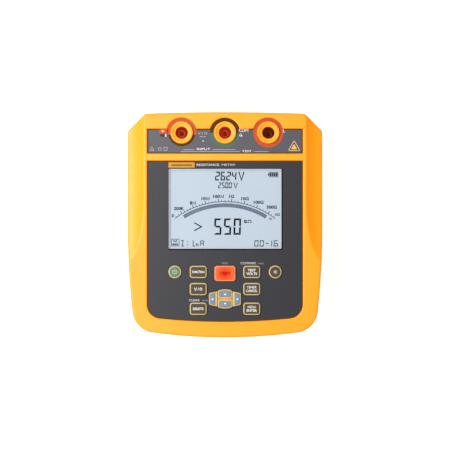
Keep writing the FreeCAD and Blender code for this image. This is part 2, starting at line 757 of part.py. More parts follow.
def rear_case():
    outline = case_outline()
    block = extrude(outline, BACK_Z, REAR_TOP_Z)
    rim = [e for e in block.Edges if e.BoundBox.ZMax < BACK_Z + 0.01]
    block = block.makeFillet(BACK_EDGE_R, rim)
    shell = block.cut(extrude(grown(outline, -WALL), BACK_Z + WALL, REAR_TOP_Z + 1))
    ledge_x, ledge_y = LEDGE_REACH
    adds = [bay_block(ledge_x, ledge_y, BACK_Z + 1, LEDGE_TOP_Z, 4.0),
            stand_pocket(TUB_WALL, BACK_Z + 1), finger_notch(TUB_WALL, BACK_Z + 1)]
    for side in (-1, 1):
        x = side * (POCKET_HALF + 2.5)
        adds.append(box(x - 2.5, x + 2.5, HINGE_Y - 4, HINGE_Y + 4, BACK_Z + 1, GROOVE_TOP_Z))
    adds += [rod(x, y, BACK_Z + 1, REAR_TOP_Z, REAR_POST_R) for x, y in both_sides(CASE_SCREWS)]
    adds += [rod(x, y, BACK_Z + 1, POWER_BOARD_Z, 3.5) for x, y in both_sides(POWER_SCREWS)]
    shell = fused([shell] + adds)
    cuts = [door_block(DOOR_GAP, 0, BACK_Z + WALL), bay_block(0, 0, 0, 10)]
    cuts += [stand_pocket(0, 0), finger_notch(0, 0)]
    cuts.append(Part.makeCylinder(PIN_R + 0.02, 2 * PIN_HALF, V(-PIN_HALF, HINGE_Y, HINGE_Z),
                                  V(1, 0, 0)))
    for x, y in both_sides(CASE_SCREWS):
        cuts.append(rod(x, y, 0, CASE_SCREW_SEAT_Z, CASE_SCREW_HEAD_R + 0.4))
        cuts.append(rod(x, y, 0, REAR_TOP_Z + 1, CASE_SCREW_R + 0.15))
    for x, y in both_sides(POWER_SCREWS):
        cuts.append(rod(x, y, POWER_BOARD_Z - BOARD_SCREW_LENGTH, POWER_BOARD_Z + 1,
                        BOARD_SCREW_R + 0.05))
    cuts += [rod(x, y, 0, BACK_Z + FOOT_RECESS, FOOT_R + 0.05) for x, y in both_sides(FEET)]
    cuts += [rod(x, y, 0, LEDGE_TOP_Z + 1, DOOR_SCREW_R + 0.3) for x, y in door_screw_places()]
    return shell.cut(cuts[0].multiFuse(cuts[1:]))


def case_screw(x, y):
    head_z = CASE_SCREW_SEAT_Z - CASE_SCREW_HEAD_H
    head = rod(x, y, head_z, CASE_SCREW_SEAT_Z, CASE_SCREW_HEAD_R)
    shaft = rod(x, y, CASE_SCREW_SEAT_Z, CASE_SCREW_END_Z, CASE_SCREW_R)
    cross = box(x - 2, x + 2, y - 0.4, y + 0.4, head_z - 1, head_z + 1.4)
    cross = cross.fuse(box(x - 0.4, x + 0.4, y - 2, y + 2, head_z - 1, head_z + 1.4))
    return head.fuse(shaft).cut(cross)


def case_screws():
    return Part.makeCompound([case_screw(x, y) for x, y in both_sides(CASE_SCREWS)])


def rubber_foot(x, y):
    foot = rod(x, y, 0, BACK_Z + FOOT_RECESS, FOOT_R)
    low = [e for e in foot.Edges if e.BoundBox.ZMax < 0.01]
    return foot.makeFillet(0.5, low)


def rubber_feet():
    return Part.makeCompound([rubber_foot(x, y) for x, y in both_sides(FEET)])


# ---------- battery compartment ----------

def cell_rows():
    return [BAY_Y + CELL_PITCH * (i - 1.5) for i in range(4)]


def battery_tray():
    tray = bay_block(TRAY_WALL, TRAY_WALL, LEDGE_TOP_Z, TRAY_TOP_Z)
    tray = tray.cut(bay_block(0, 0, 0, TRAY_TOP_Z - TRAY_WALL))
    rib = box(-1, 1, BAY_Y - BAY_HALF[1] - 1, BAY_Y + BAY_HALF[1] + 1, LEDGE_TOP_Z, TRAY_TOP_Z - 1)
    return tray.fuse(rib).removeSplitter()


def battery_cell(y, side):
    """Cylindrical cell with a raised button end towards the outside of the tray."""
    start = V(side * CELL_X0, y, CELL_Z)
    body = Part.makeCylinder(CELL_R, CELL_LENGTH, start, V(side, 0, 0))
    edges = [e for e in body.Edges if e.BoundBox.XLength < 0.01]
    body = body.makeFillet(0.6, edges)
    button = Part.makeCylinder(2.75, CELL_LENGTH + 1.0, start, V(side, 0, 0))
    return body.fuse(button)


def battery_cells():
    return Part.makeCompound([battery_cell(y, side) for y in cell_rows() for side in (-1, 1)])


def battery_contact(y, side):
    """Plate against the tray wall with a domed spring reaching the cell."""
    wall = BAY_HALF[0] - 0.05
    reach = CELL_X0 + CELL_LENGTH + 1.1
    plate = box(wall - 0.4, wall, y - 5, y + 5, CELL_Z - 5, CELL_Z + 5)
    spring = Part.makeCone(4.0, 2.6, wall - reach - 0.2, V(wall - 0.2, y, CELL_Z), V(-1, 0, 0))
    outer = plate.fuse(spring)
    inner = box(1.05, 1.65, y - 5, y + 5, CELL_Z - 5, CELL_Z + 5)
    pair = [outer, inner]
    return pair if side > 0 else [mirrored(shape) for shape in pair]


def battery_contacts():
    pieces = []
    for y in cell_rows():
        for side in (-1, 1):
            pieces += battery_contact(y, side)
    return Part.makeCompound(pieces)


def battery_door():
    door = door_block(0, BACK_Z, BACK_Z + DOOR_T)
    for i in range(5):
        y = BAY_Y + 18 + 3.0 * i
        door = door.cut(rounded_box(-14, 14, y, y + 1.4, BACK_Z - 1, BACK_Z + 0.6, 0.6))
    for x, y in door_screw_places():
        door = door.cut(rod(x, y, 0, 10, DOOR_SCREW_R + 0.1))
        door = door.cut(rod(x, y, 0, BACK_Z + DOOR_SCREW_HEAD_H, DOOR_SCREW_HEAD_R + 0.15))
    return door


def door_seal():
    low = BACK_Z + DOOR_T
    ring = door_block(-1.0, low, low + SEAL_T).cut(bay_block(1.0, 1.0, 0, 10))
    for x, y in door_screw_places():
        ring = ring.cut(rod(x, y, 0, 10, DOOR_SCREW_R + 0.3))
    return ring


def door_screw(x, y):
    """Captive screw with a slotted head sunk in the door."""
    head_top = BACK_Z + DOOR_SCREW_HEAD_H
    screw = rod(x, y, BACK_Z, head_top, DOOR_SCREW_HEAD_R)
    screw = screw.fuse(rod(x, y, head_top, LEDGE_TOP_Z + 2.0, DOOR_SCREW_R))
    reach = DOOR_SCREW_HEAD_R + 1
    return screw.cut(box(x - reach, x + reach, y - 0.4, y + 0.4, 0, BACK_Z + 0.6))


# ---------- stand ----------

def tilt_stand():
    y0, y1 = STAND_Y
    z0, z1 = STAND_Z
    plate = box(-STAND_HALF, STAND_HALF, y0, y1, z0, z1)
    free = [e for e in upright_edges(plate) if e.BoundBox.YMax < 0]
    plate = plate.makeFillet(8.0, free)
    barrel = Part.makeCylinder(BARREL_R, 2 * STAND_HALF, V(-STAND_HALF, HINGE_Y, HINGE_Z), V(1, 0, 0))
    stand = plate.fuse(barrel)
    bore = Part.makeCylinder(PIN_R + 0.08, 2 * STAND_HALF + 2, V(-STAND_HALF - 1, HINGE_Y, HINGE_Z),
                             V(1, 0, 0))
    stand = stand.cut(bore)
    for i in range(5):
        x = 12.0 * (i - 2)
        stand = stand.cut(rounded_box(x - 2, x + 2, 6, 44, 0, z0 + 0.8, 1.9))
    return stand.removeSplitter()


def stand_pin():
    return Part.makeCylinder(PIN_R, 2 * PIN_HALF - 0.4, V(-PIN_HALF + 0.2, HINGE_Y, HINGE_Z),
                             V(1, 0, 0))


# ---------- all nodes ----------

def build_nodes():
    keys = key_faces()
    nodes = {
        "front_case": front_case(keys),
        "rear_case": rear_case(),
        "case_gasket": case_gasket(),
        "main_overlay": main_overlay(keys),
        "terminal_overlay": terminal_overlay(),
        "display_window": display_window(),
        "lcd_frame": lcd_frame(),
        "lcd_glass": lcd_glass(),
        "lcd_backlight": lcd_backlight(),
        "main_board": main_board(),
        "main_chip": main_chip(),
        "buzzer": buzzer(),
        "keypad_mat": keypad_mat(keys),
        "switch_domes": switch_domes(keys),
        "jack_nuts": jack_nuts(),
        "power_board": power_board(),
        "transformer_core": transformer_core(),
        "transformer_coil": transformer_coil(),
        "relays": relays(),
        "capacitors": capacitors(),
        "board_connector": board_connector(),
        "board_screws": board_screws(),
        "case_screws": case_screws(),
        "rubber_feet": rubber_feet(),
        "battery_tray": battery_tray(),
        "battery_cells": battery_cells(),
        "battery_contacts": battery_contacts(),
        "battery_door": battery_door(),
        "door_seal": door_seal(),
        "tilt_stand": tilt_stand(),
        "stand_pin": stand_pin(),
    }
    for name, (face, plunger) in keys.items():
        nodes[name] = key_solid(name, face, plunger)
    for side in JACK_XS:
        nodes["jack_collar_" + side] = at_jack(jack_collar(), side)
        nodes["jack_socket_" + side] = at_jack(jack_socket(POST_TOPS[side]), side)
        nodes["jack_contact_" + side] = at_jack(jack_contact(POST_TOPS[side]), side)
    for (x, y), side in zip(door_screw_places(), ("left", "right")):
        nodes["door_screw_" + side] = door_screw(x, y)
    return nodes


def export(nodes):
    os.makedirs("parts", exist_ok=True)
    for name, shape in nodes.items():
        shape.exportStep("parts/" + name + ".step")


export(build_nodes())
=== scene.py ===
import bpy
import math
from mathutils import Matrix, Vector


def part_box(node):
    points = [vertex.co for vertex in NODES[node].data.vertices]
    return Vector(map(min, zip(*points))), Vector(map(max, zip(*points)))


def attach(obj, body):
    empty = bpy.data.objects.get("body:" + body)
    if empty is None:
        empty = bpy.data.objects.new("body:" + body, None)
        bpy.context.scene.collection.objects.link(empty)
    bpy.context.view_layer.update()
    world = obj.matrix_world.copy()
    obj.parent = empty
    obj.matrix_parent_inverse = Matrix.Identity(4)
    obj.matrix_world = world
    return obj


# Looks of the insulation resistance tester. The drawing functions work in millimetres in the
# object's frame, and mesh_object() turns them into metres.

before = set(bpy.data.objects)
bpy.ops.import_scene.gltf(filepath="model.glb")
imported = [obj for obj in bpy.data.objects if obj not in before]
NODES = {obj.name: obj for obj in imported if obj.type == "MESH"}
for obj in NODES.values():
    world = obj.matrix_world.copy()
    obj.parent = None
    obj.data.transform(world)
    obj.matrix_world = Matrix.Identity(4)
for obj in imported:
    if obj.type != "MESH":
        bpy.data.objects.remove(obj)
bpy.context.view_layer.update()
MM = 0.001


def low(node):
    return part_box(node)[0] / MM


def high(node):
    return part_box(node)[1] / MM


def middle(node):
    return (low(node) + high(node)) / 2


# ---- driving sizes that the boxes of the CAD nodes don't give ----
LENS_BORDER = 2.3                 # of the window, hidden under the panel
FLANGE_REACH = 1.2                # of a key's flange beyond its cap
WING_FLANGE_REACH = 0.4           # the same at the tips of the arrow pad
DECK_TILT = math.radians(8.0)
BREAK_Y = 62.4                    # the terminal deck tilts down from this line
FACE_RISE = 1.3                   # case face above the main panel's surface
JACK_Y = 85.2                     # middle of the jacks, as seen from the front
HALO_IN = 10.6                    # inside of the coloured ring round a jack
HALO_OUT = 13.9
HALO_DARK_OUT = 12.7              # outside of the dark arc under the left jack
KEY_R = 6.0                       # cap of a round key
RIM = 1.1                         # visible rim of a key round its printed pad
WING_RIM = 0.85                   # the same on the wings of the arrow pad
PAD_RISE = 0.22                   # height of a key's printed pad
PAD_SINK = 0.02                   # how far it reaches into the key
GROOVE_SHADE_OUT = 0.5                  # reach of the painted groove shade outside a panel's edge
GROOVE_SHADE_IN = 0.5                   # and inside it
INK = 0.03                        # thickness of printing
SINK = 0.01                       # how far printing reaches into its surface

PANEL_Z = high("main_overlay").z
FACE_Z = PANEL_Z + FACE_RISE
GLASS_Z = high("lcd_glass").z
VIEW_LOW = low("display_window") + Vector((LENS_BORDER, LENS_BORDER, 0))
VIEW_HIGH = high("display_window") - Vector((LENS_BORDER, LENS_BORDER, 0))
VIEW_MID = (VIEW_LOW + VIEW_HIGH) / 2
SIDES = ("left", "middle", "right")

# ---- camera, light and floor, in metres ----
CAMERA_DISTANCE = 3.0
VIEW_WIDTH = 0.41796              # across the picture, at the height of the face
VIEW_Y = -0.00079                 # the camera looks down on this line
SENSOR_WIDTH = 36.0
SKY_LEFT = 0.68                   # light from the left side of the room, and from the right
SKY_RIGHT = 0.20
FLOOR_HALF = 4.0


# ---------- materials ----------

NOISE_LOW, NOISE_HIGH = 0.3, 0.7  # nearly all of the noise lies between these
PATCH = 12                        # patches of roughness are this many times the grain's size


def srgb(r, g, b):
    """Linear colour of an 8-bit screen colour."""
    channels = []
    for value in (r, g, b):
        v = value / 255
        channels.append(v / 12.92 if v <= 0.04045 else ((v + 0.055) / 1.055) ** 2.4)
    return tuple(channels)


def scaled(colour, factor):
    return tuple(min(1.0, c * factor) for c in colour) + (1.0,)


class Look:
    """A Principled material whose colour, roughness and bump come from noise in object space."""

    def __init__(self, name, colour, roughness, metallic=0.0):
        self.material = bpy.data.materials.new(name)
        self.material.use_nodes = True
        self.tree = self.material.node_tree
        self.shader = self.tree.nodes["Principled BSDF"]
        self.shader.inputs["Base Color"].default_value = colour + (1.0,)
        self.shader.inputs["Roughness"].default_value = roughness
        self.shader.inputs["Metallic"].default_value = metallic
        self.colour = colour
        self.roughness = roughness
        self.place = self.tree.nodes.new("ShaderNodeTexCoord").outputs["Object"]
        self.painted = None           # colour socket of the last mix()
        self.rounded_normal = None    # normal socket of soften()

    def link(self, source, target):
        self.tree.links.new(source, target)

    def noise(self, size, detail=2.0, stretch=(1, 1, 1)):
        """Noise from 0 to 1 whose blotches are about size millimetres across."""
        mapping = self.tree.nodes.new("ShaderNodeMapping")
        mapping.inputs["Scale"].default_value = stretch
        self.link(self.place, mapping.inputs["Vector"])
        node = self.tree.nodes.new("ShaderNodeTexNoise")
        node.inputs["Scale"].default_value = 1 / (size * MM)
        node.inputs["Detail"].default_value = detail
        self.link(mapping.outputs["Vector"], node.inputs["Vector"])
        return node.outputs["Fac"]

    def ramp(self, value, start, end, low_value, high_value):
        node = self.tree.nodes.new("ShaderNodeMapRange")
        node.inputs["From Min"].default_value = start
        node.inputs["From Max"].default_value = end
        node.inputs["To Min"].default_value = low_value
        node.inputs["To Max"].default_value = high_value
        self.link(value, node.inputs["Value"])
        return node.outputs["Result"]

    def mix(self, factor, first, second):
        node = self.tree.nodes.new("ShaderNodeMix")
        node.data_type = "RGBA"
        self.link(factor, node.inputs["Factor"])
        for socket, value in (("A", first), ("B", second)):
            target = [s for s in node.inputs if s.name == socket and s.type == "RGBA"][0]
            if isinstance(value, tuple):
                target.default_value = value
            else:
                self.link(value, target)
        self.painted = [s for s in node.outputs if s.type == "RGBA"][0]
        self.link(self.painted, self.shader.inputs["Base Color"])

    def mottle(self, size, amount):
        """Colour that drifts a little over size millimetres."""
        factor = self.ramp(self.noise(size), NOISE_LOW, NOISE_HIGH, 0, 1)
        self.mix(factor, scaled(self.colour, 1 - amount), scaled(self.colour, 1 + amount))
        return self

    def spot(self, point, reach, colour):
        """A patch of colour about a point in millimetres, fading out at reach millimetres."""
        away = self.tree.nodes.new("ShaderNodeVectorMath")
        away.operation = "DISTANCE"
        away.inputs[1].default_value = point * MM
        self.link(self.place, away.inputs[0])
        factor = self.ramp(away.outputs["Value"], 0, reach * MM, 1, 0)
        self.mix(factor, self.painted, colour + (1.0,))
        return self

    def soften(self, width):
        """Sharp creases drawn as small roundings."""
        bevel = self.tree.nodes.new("ShaderNodeBevel")
        bevel.samples = 6
        bevel.inputs["Radius"].default_value = width * MM
        self.rounded_normal = bevel.outputs["Normal"]
        return self

    def painted_glow(self, strength):
        """Painted light: the surface glows with its own colour, lifting it out of the shade it
        stands in.
        """
        self.link(self.painted, self.shader.inputs["Emission Color"])
        self.shader.inputs["Emission Strength"].default_value = strength
        return self

    def edge_highlight(self, colour, width, amount):
        """Painted highlight: a lighter tone along edges, where light catches their roundings."""
        bevel = self.tree.nodes.new("ShaderNodeBevel")
        bevel.samples = 4
        bevel.inputs["Radius"].default_value = width * MM
        geometry = self.tree.nodes.new("ShaderNodeNewGeometry")
        dot = self.tree.nodes.new("ShaderNodeVectorMath")
        dot.operation = "DOT_PRODUCT"
        self.link(bevel.outputs["Normal"], dot.inputs[0])
        self.link(geometry.outputs["Normal"], dot.inputs[1])
        self.mix(self.ramp(dot.outputs["Value"], 0.99, 0.8, 0, amount), self.painted, colour)
        return self

    def grain(self, size, depth, spread=0.06, stretch=(1, 1, 1)):
        """Moulded texture: bumps of size millimetres, with roughness that varies with them."""
        fine = self.noise(size, 3.0, stretch)
        bump = self.tree.nodes.new("ShaderNodeBump")
        bump.inputs["Strength"].default_value = 1.0
        bump.inputs["Distance"].default_value = depth * MM
        self.link(fine, bump.inputs["Height"])
        if self.rounded_normal:
            self.link(self.rounded_normal, bump.inputs["Normal"])
        self.link(bump.outputs["Normal"], self.shader.inputs["Normal"])
        value = self.ramp(self.noise(size * PATCH), NOISE_LOW, NOISE_HIGH,
                          self.roughness - spread, self.roughness + spread)
        self.link(value, self.shader.inputs["Roughness"])
        return self

    def set(self, **values):
        """Even values on the shader's own sockets."""
        for name, value in values.items():
            self.shader.inputs[name.replace("_", " ")].default_value = value
        return self


def plastic(name, colour, roughness, size, depth, drift=0.03, edge=0.0, spread=0.06):
    """Moulded plastic or rubber. Its grain is size by depth millimetres, its colour drifts by a
    share of itself, creases are rounded by edge millimetres, and roughness varies by spread."""
    look = Look(name, colour, roughness).mottle(30, drift)
    if edge:
        look.soften(edge)
    return look.grain(size, depth, spread)


def ink(name, colour, roughness=0.55):
    """Printing, or a thin painted face."""
    return Look(name, colour, roughness).mottle(6, 0.04).grain(0.3, 0.002)


def metal(name, colour, roughness):
    """Turned or drawn metal, with fine lines across its length."""
    look = Look(name, colour, roughness, 1.0).mottle(4, 0.08)
    return look.grain(0.25, 0.004, 0.08, (1, 1, 12))


def board_look():
    """Green solder mask with paler copper tracks under it."""
    look = Look("solder_mask", srgb(24, 84, 48), 0.3).mottle(20, 0.06).grain(0.6, 0.004)
    brick = look.tree.nodes.new("ShaderNodeTexBrick")
    brick.inputs["Scale"].default_value = 90.0
    brick.inputs["Mortar Size"].default_value = 0.03
    look.link(look.place, brick.inputs["Vector"])
    tracks = look.ramp(brick.outputs["Fac"], 0, 1, 0, 0.7)
    look.mix(tracks, look.painted, srgb(60, 128, 78) + (1.0,))
    return look


def lens_look():
    """Clear window: see-through, with reflections that grow towards grazing angles."""
    look = Look("clear_window", (0.22, 0.22, 0.23), 0.08, 1.0).mottle(25, 0.02)
    smears = look.ramp(look.noise(14, 4.0), 0.35, 0.75, 0.07, 0.1)
    look.link(smears, look.shader.inputs["Roughness"])
    weight = look.tree.nodes.new("ShaderNodeLayerWeight")
    power = look.tree.nodes.new("ShaderNodeMath")
    power.operation = "POWER"
    power.inputs[1].default_value = 5.0
    look.link(weight.outputs["Facing"], power.inputs[0])
    look.link(look.ramp(power.outputs["Value"], 0, 1, 0.04, 1), look.shader.inputs["Alpha"])
    return look


def lcd_look():
    """Pale blue display glass that glows: painted light that stands for the backlight and fills
    the shade of the window's recess.
    """
    look = Look("lcd_pale", LCD_COLOUR, 0.5).mottle(45, 0.015).set(Specular_IOR_Level=0.2)
    return look.painted_glow(0.97).grain(0.3, 0.001)


LCD_COLOUR = srgb(139, 149, 159)
YELLOW = (1.0, 0.31, 0.001)       # linear
PAD_MIDDLE = Vector((0, middle("key_left").y, high("key_left").z))
TEST_TOP = Vector((middle("key_test").x, middle("key_test").y, high("key_test").z))
LOOKS = {
    "case": plastic("case_yellow", YELLOW, 0.40, 0.7, 0.010, 0.015, 1.8).set(
        Specular_IOR_Level=0.42),
    # The jack collars carry a painted highlight along their rims.
    "jack": plastic("jack_yellow", YELLOW, 0.30, 0.5, 0.004, 0.015).edge_highlight(
        srgb(255, 214, 120) + (1.0,), 0.5, 0.5),
    "key": plastic("key_yellow", srgb(178, 161, 108), 0.50, 0.35, 0.004),
    "pad": plastic("pad_yellow", srgb(178, 160, 104), 0.48, 0.35, 0.004).spot(
        PAD_MIDDLE, 10.5, srgb(226, 168, 78)),
    "test_key": plastic("test_key_red", srgb(212, 122, 80), 0.45, 0.35, 0.004),
    "panel": plastic("panel_dark", srgb(39, 38, 43), 0.42, 0.25, 0.004, 0.02,
                     spread=0.02).set(Specular_IOR_Level=0.3),
    "deck_panel": plastic("panel_grey", srgb(76, 74, 80), 0.42, 0.25, 0.004, 0.02,
                          spread=0.02).set(Specular_IOR_Level=0.3),
    # The red sleeves glow with their own colour: painted light that keeps the deep sockets evenly
    # red. The second sleeve look is a darker copy for the right-hand socket: painted shade.
    "red_sleeve": plastic("sleeve_red", srgb(112, 24, 8), 0.6, 0.5, 0.003).set(
        Specular_IOR_Level=0.2).painted_glow(1.4),
    "sleeve_shade": plastic("sleeve_red_shade", srgb(78, 24, 8), 0.6, 0.5, 0.003).set(
        Specular_IOR_Level=0.2).painted_glow(0.9),
    "black": plastic("moulded_black", srgb(38, 38, 40), 0.5, 0.4, 0.006),
    "chip": plastic("epoxy_black", srgb(28, 28, 30), 0.5, 0.3, 0.006),
    "rubber": plastic("rubber_black", srgb(36, 36, 37), 0.75, 0.3, 0.02, 0.08),
    "silicone": plastic("silicone_grey", srgb(140, 140, 144), 0.6, 0.3, 0.006),
    "light_guide": plastic("light_guide", srgb(232, 238, 244), 0.2, 0.6, 0.003),
    "tape": plastic("coil_tape", srgb(226, 186, 60), 0.3, 1.5, 0.03),
    "relay": plastic("relay_blue", srgb(34, 52, 104), 0.35, 0.5, 0.004),
    "capacitor": plastic("sleeve_blue", srgb(52, 74, 132), 0.3, 1.0, 0.006),
    "cell": plastic("cell_jacket", srgb(150, 152, 156), 0.3, 2.0, 0.004, 0.1),
    "ferrite": plastic("ferrite", srgb(62, 62, 64), 0.6, 0.3, 0.03, 0.1),
    "brass": metal("brass", srgb(212, 176, 98), 0.28),
    # The jack contacts take the sleeves' red and glow: painted light over the brass. The second
    # contact look is a darker copy for the right-hand jack: painted shade.
    "contact_glow": metal("contact_red_glow", srgb(122, 34, 16), 0.65).painted_glow(0.8),
    "contact_shade": metal("contact_red_shade", srgb(84, 28, 12), 0.6).painted_glow(0.6),
    "steel": metal("zinc_steel", srgb(196, 198, 200), 0.32),
    "spring": metal("spring_steel", srgb(206, 206, 208), 0.25),
    "board": board_look(),
    "lens": lens_look(),
    "lcd": lcd_look(),
}
INKS = {
    "white": ink("ink_white", srgb(224, 222, 224)),
    "pale": ink("ink_pale", srgb(186, 184, 188)),
    "grey": ink("ink_grey", srgb(134, 132, 138)),
    "faint": ink("ink_faint", srgb(150, 150, 156)),
    "black": ink("ink_black", srgb(72, 44, 10)).set(Specular_IOR_Level=0.1),
    # Near-black for the painted shadow along the window's edges.
    "gap": ink("gap_shadow", srgb(8, 9, 14)).set(Specular_IOR_Level=0.0),
    # Dark brown for the painted shade in the grooves round the panels.
    "border": ink("border_brown", srgb(80, 55, 12)).set(Specular_IOR_Level=0.1),
    "red": ink("ink_red", srgb(177, 63, 18)).set(Specular_IOR_Level=0.3),
    "green": ink("ink_green", srgb(46, 86, 68)),
    "orange": ink("ink_orange", srgb(186, 132, 22)).set(Specular_IOR_Level=0.2),
    "brown": ink("ink_brown", srgb(96, 62, 22)),
    "amber": ink("ink_amber", srgb(206, 176, 112)),
    "core": ink("ink_core", srgb(226, 160, 48)),
    "segment": ink("lcd_segment", srgb(4, 8, 20), 0.6).set(Specular_IOR_Level=0.0),
    "segment_bar": ink("lcd_segment_bar", srgb(60, 72, 98), 0.5),
    "lcd_rim": ink("window_rim", srgb(182, 190, 194), 0.5),
    "key_face": ink("key_face_dark", srgb(64, 52, 32)).set(Specular_IOR_Level=0.3),
    "key_green": ink("key_face_green", srgb(76, 106, 72)),
    "arrow_band": ink("arrow_band_grey", srgb(122, 112, 96)),
    "arrow_face": ink("arrow_face_blue", srgb(94, 117, 146)),
    "test_face": ink("test_face_red", srgb(202, 116, 60)).spot(
        TEST_TOP, 12.0, srgb(208, 0, 0)).set(Specular_IOR_Level=0.05),
    "test_mark": ink("test_mark", srgb(150, 4, 0)).set(Specular_IOR_Level=0.05),
}
NODE_LOOKS = {
    "case": ("front_case", "rear_case", "battery_door", "tilt_stand"),
    "panel": ("main_overlay",),
    "deck_panel": ("terminal_overlay",),
    "lens": ("display_window",),
    "lcd": ("lcd_glass",),
    "light_guide": ("lcd_backlight",),
    "black": ("lcd_frame", "battery_tray", "board_connector"),
    "chip": ("main_chip", "buzzer"),
    "rubber": ("case_gasket", "door_seal", "rubber_feet"),
    "silicone": ("keypad_mat",),
    "board": ("main_board", "power_board"),
    "spring": ("switch_domes", "battery_contacts"),
    "steel": ("board_screws", "case_screws", "door_screw_left", "door_screw_right", "stand_pin"),
    "brass": ("jack_nuts",),
    "contact_glow": ("jack_contact_left", "jack_contact_middle"),
    "contact_shade": ("jack_contact_right",),
    "jack": tuple("jack_collar_" + s for s in SIDES),
    "red_sleeve": ("jack_socket_left", "jack_socket_middle"),
    "sleeve_shade": ("jack_socket_right",),
    "ferrite": ("transformer_core",),
    "tape": ("transformer_coil",),
    "relay": ("relays",),
    "capacitor": ("capacitors",),
    "cell": ("battery_cells",),
    "test_key": ("key_test",),
    "pad": ("key_up", "key_down", "key_left", "key_right"),
    "key": ("key_power", "key_mode", "key_units", "key_delete", "key_volts", "key_timer",
            "key_memory", "key_backlight"),
}


def dress_nodes():
    for look, nodes in NODE_LOOKS.items():
        for name in nodes:
            slots = NODES[name].data.materials
            slots.clear()
            slots.append(LOOKS[look].material)


# ---------- flat shapes: (points, faces), in millimetres ----------

def polygon(points):
    return points, [tuple(range(len(points)))]


def band(first, second, closed=False):
    """The strip between two rows of points."""
    count = len(first)
    faces = []
    for i in range(count if closed else count - 1):
        j = (i + 1) % count
        faces.append((i, j, count + j, count + i))
    return first + second, faces


def arc_points(x, y, r, start, end, steps):
    """Points along an arc about (x, y), from start to end in degrees."""
    points = []
    for i in range(steps + 1):
        angle = math.radians(start + (end - start) * i / steps)
        points.append((x + r * math.cos(angle), y + r * math.sin(angle)))
    return points


def circle(x, y, r, steps=48):
    return arc_points(x, y, r, 0, 360, steps)[:-1]


def ring(x, y, inner, outer, start=0, end=360):
    """A ring, or an arc of one from start to end in degrees."""
    steps = max(8, round(abs(end - start) / 5))
    inside = arc_points(x, y, inner, start, end, steps)
    outside = arc_points(x, y, outer, start, end, steps)
    if end - start == 360:
        return band(outside[:-1], inside[:-1], True)
    return band(outside, inside)


def rounded(corners, r, steps=5):
    """Points of a convex outline, anticlockwise, with its corners rounded."""
    points = []
    count = len(corners)
    for i in range(count):
        here = Vector(corners[i])
        before = (Vector(corners[i - 1]) - here).normalized()
        after = (Vector(corners[(i + 1) % count]) - here).normalized()
        half = before.angle(after) / 2
        centre = here + (before + after).normalized() * (r / math.sin(half))
        start = here + before * (r / math.tan(half)) - centre
        sweep = math.pi - 2 * half
        for k in range(steps + 1):
            turn = Matrix.Rotation(sweep * k / steps, 2)
            points.append(tuple(centre + turn @ start))
    return points


def rectangle(x0, x1, y0, y1):
    return [(x0, y0), (x1, y0), (x1, y1), (x0, y1)]


def about(x, y, width, height):
    """A rectangle by its middle."""
    return rectangle(x - width / 2, x + width / 2, y - height / 2, y + height / 2)


def stroke(points, width, closed=False):
    """A line of even width through the points, with mitred bends."""
    sharpest = 0.5                   # limit of a mitre's reach
    left = []
    right = []
    count = len(points)
    for i in range(count):
        here = Vector(points[i])
        previous = Vector(points[i - 1]) if i or closed else None
        following = Vector(points[(i + 1) % count]) if i < count - 1 or closed else None
        directions = []
        if previous is not None:
            directions.append((here - previous).normalized())
        if following is not None:
            directions.append((following - here).normalized())
        along = sum(directions, Vector((0, 0))).normalized()
        across = Vector((-along.y, along.x))
        spread = across.dot(Vector((-directions[0].y, directions[0].x)))
        reach = across * (width / 2 / max(spread, sharpest))
        left.append(tuple(here + reach))
        right.append(tuple(here - reach))
    return band(left, right, closed)


def lettering(body, x, y, width, height, weight=0.03):
    """Letters fitted to a box about (x, y), their strokes thickened by weight of their size."""
    curve = bpy.data.curves.new("lettering", "FONT")
    curve.body = body
    if "M" not in body:              # the font's M folds over itself when thickened
        curve.offset = weight
    curve.resolution_u = 3
    holder = bpy.data.objects.new("lettering", curve)
    bpy.context.scene.collection.objects.link(holder)
    bpy.context.view_layer.update()
    depsgraph = bpy.context.evaluated_depsgraph_get()
    mesh = bpy.data.meshes.new_from_object(holder.evaluated_get(depsgraph))
    xs = [v.co.x for v in mesh.vertices]
    ys = [v.co.y for v in mesh.vertices]
    mid_x = (max(xs) + min(xs)) / 2
    mid_y = (max(ys) + min(ys)) / 2
    scale_x = width / (max(xs) - min(xs))
    scale_y = height / (max(ys) - min(ys))
    points = [(x + (v.co.x - mid_x) * scale_x, y + (v.co.y - mid_y) * scale_y)
              for v in mesh.vertices]
    faces = [tuple(p.vertices) for p in mesh.polygons]
    bpy.data.objects.remove(holder)
    bpy.data.curves.remove(curve)
    bpy.data.meshes.remove(mesh)
    return points, faces


DIGIT_SEGMENTS = {"0": "abcdef", "1": "bc", "2": "abged", "4": "fgbc", "5": "afgcd",
                  "6": "afgcde", "A": "abcefg"}


def segments(w, h, t, gap):
    """Outlines of the seven segments of a figure w by h, t thick, with mitred ends."""
    m = h / 2
    near = t + gap
    return {
        "a": [(near, h - t), (w - near, h - t), (w - gap, h), (gap, h)],
        "b": [(w - t, m + t / 2 + gap), (w, m + gap), (w, h - gap), (w - t, h - near)],
        "c": [(w - t, near), (w, gap), (w, m - gap), (w - t, m - t / 2 - gap)],
        "d": [(gap, 0), (w - gap, 0), (w - near, t), (near, t)],
        "e": [(0, gap), (t, near), (t, m - t / 2 - gap), (0, m - gap)],
        "f": [(0, m + gap), (t, m + t / 2 + gap), (t, h - near), (0, h - gap)],
        "g": [(t / 2 + gap, m), (near, m - t / 2), (w - near, m - t / 2), (w - t / 2 - gap, m),
              (w - near, m + t / 2), (near, m + t / 2)],
    }


